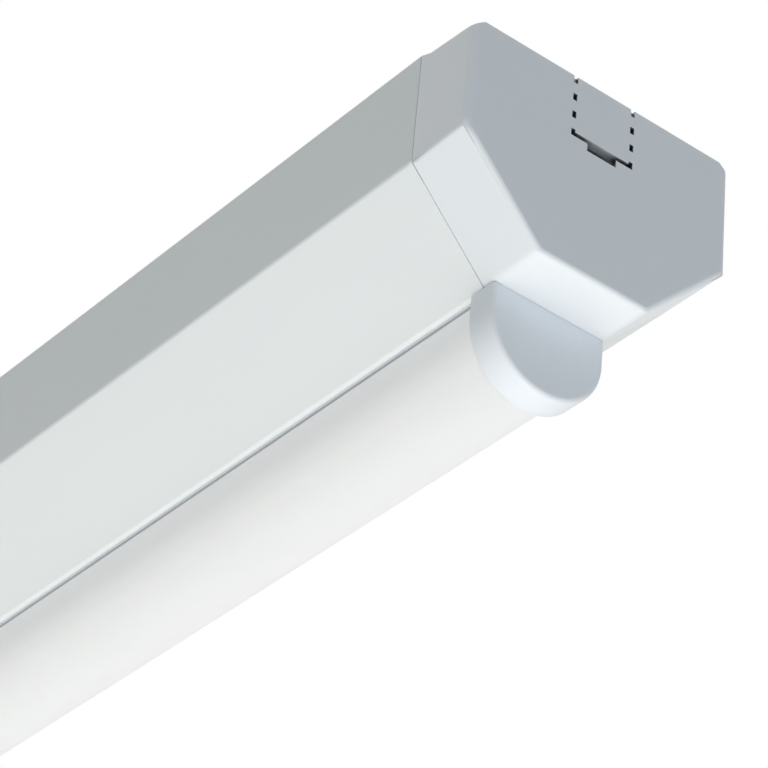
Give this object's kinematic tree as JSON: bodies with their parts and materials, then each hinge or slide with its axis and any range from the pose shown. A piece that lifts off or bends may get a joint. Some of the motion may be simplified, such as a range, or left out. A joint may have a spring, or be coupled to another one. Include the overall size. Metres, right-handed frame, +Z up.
{
  "type": "linear LED batten ceiling luminaire",
  "caption": "Surface-mounted linear LED batten: folded steel spine and gear cover, opal U-shaped diffuser, moulded end caps with trunking knock-out.",
  "frame": {"origin": "centre of the spine's face that lies on the ceiling, on the axis of the cable entry", "axes": "+X along the batten towards the end nearest in the picture, +Y across it, +Z up into the ceiling"},
  "size_m": [0.6, 0.0676, 0.0674],
  "materials": {
    "powder_white": "semi-gloss white polyester powder coat on steel",
    "end_cap_white": "moulded white ABS, fine satin",
    "diffuser_opal": "extruded opal polycarbonate, smooth",
    "diffuser_cap_white": "moulded white polycarbonate, fine satin",
    "driver_white": "moulded white polycarbonate case, fine spark texture",
    "zinc_steel": "zinc plated steel",
    "spring_steel": "bright spring steel strip",
    "mill_aluminium": "extruded aluminium, mill finish",
    "grommet_rubber": "grey moulded rubber",
    "terminal_grey": "moulded light grey polyamide",
    "lever_orange": "moulded orange polyamide",
    "clamp_white": "moulded white polyamide",
    "contact_brass": "stamped brass",
    "board_white": "white solder resist on laminate",
    "connector_white": "moulded white polyamide",
    "led_phosphor": "yellow phosphor in silicone",
    "lead_pvc": "coloured PVC insulation"
  },
  "bodies": {
    "fixture": {"spine": "powder_white", "cable_bush": "grommet_rubber", "cable_clamp": "clamp_white", "cable_clamp_screws": "zinc_steel", "terminal_block": "terminal_grey", "terminal_clamps": "contact_brass", "earth_tag": "contact_brass", "earth_screw": "zinc_steel", "docking_socket": "terminal_grey", "supply_leads": "lead_pvc"},
    "gear_cover": {"body_cover": "powder_white", "retaining_clip_left": "spring_steel", "retaining_clip_right": "spring_steel", "clip_rivets": "zinc_steel", "docking_plug": "terminal_grey", "docking_blades": "contact_brass", "driver_case": "driver_white", "driver_lid": "driver_white", "driver_screws": "zinc_steel", "driver_leads": "lead_pvc", "led_leads": "lead_pvc", "lead_bush": "grommet_rubber", "lead_clips": "clamp_white", "cover_earth_stud": "zinc_steel", "cover_earth_lead": "lead_pvc", "led_carrier": "mill_aluminium", "led_board_left": "board_white", "led_board_right": "board_white", "led_packages_left": "led_phosphor", "led_packages_right": "led_phosphor", "board_connectors": "connector_white", "board_screws": "zinc_steel"},
    "lever_live": {"lever_live": "lever_orange"},
    "lever_neutral": {"lever_neutral": "lever_orange"},
    "lever_earth": {"lever_earth": "lever_orange"},
    "end_cap_left": {"end_cap_left": "end_cap_white"},
    "end_cap_right": {"end_cap_right": "end_cap_white"},
    "diffuser": {"diffuser": "diffuser_opal", "diffuser_cap_left": "diffuser_cap_white", "diffuser_cap_right": "diffuser_cap_white"}
  },
  "joints": [
    {"name": "gear_cover_drop", "type": "slide", "parent": "fixture", "child": "gear_cover", "axis": [0, 0, -1], "range_m": [0, 0.06]},
    {"name": "diffuser_drop", "type": "slide", "parent": "gear_cover", "child": "diffuser", "axis": [0, 0, -1], "range_m": [0, 0.03]},
    {"name": "end_cap_right_slide", "type": "slide", "parent": "fixture", "child": "end_cap_right", "axis": [1, 0, 0], "range_m": [0, 0.025]},
    {"name": "end_cap_left_slide", "type": "slide", "parent": "fixture", "child": "end_cap_left", "axis": [-1, 0, 0], "range_m": [0, 0.025]},
    {"name": "lever_live_tilt", "type": "hinge", "parent": "fixture", "child": "lever_live", "pos_m": [0.0566, -0.01, -0.0147], "axis": [0, 1, 0], "range_deg": [0, 85]},
    {"name": "lever_neutral_tilt", "type": "hinge", "parent": "fixture", "child": "lever_neutral", "pos_m": [0.0566, 0, -0.0147], "axis": [0, 1, 0], "range_deg": [0, 85]},
    {"name": "lever_earth_tilt", "type": "hinge", "parent": "fixture", "child": "lever_earth", "pos_m": [0.0566, 0.01, -0.0147], "axis": [0, 1, 0], "range_deg": [0, 85]}
  ]
}
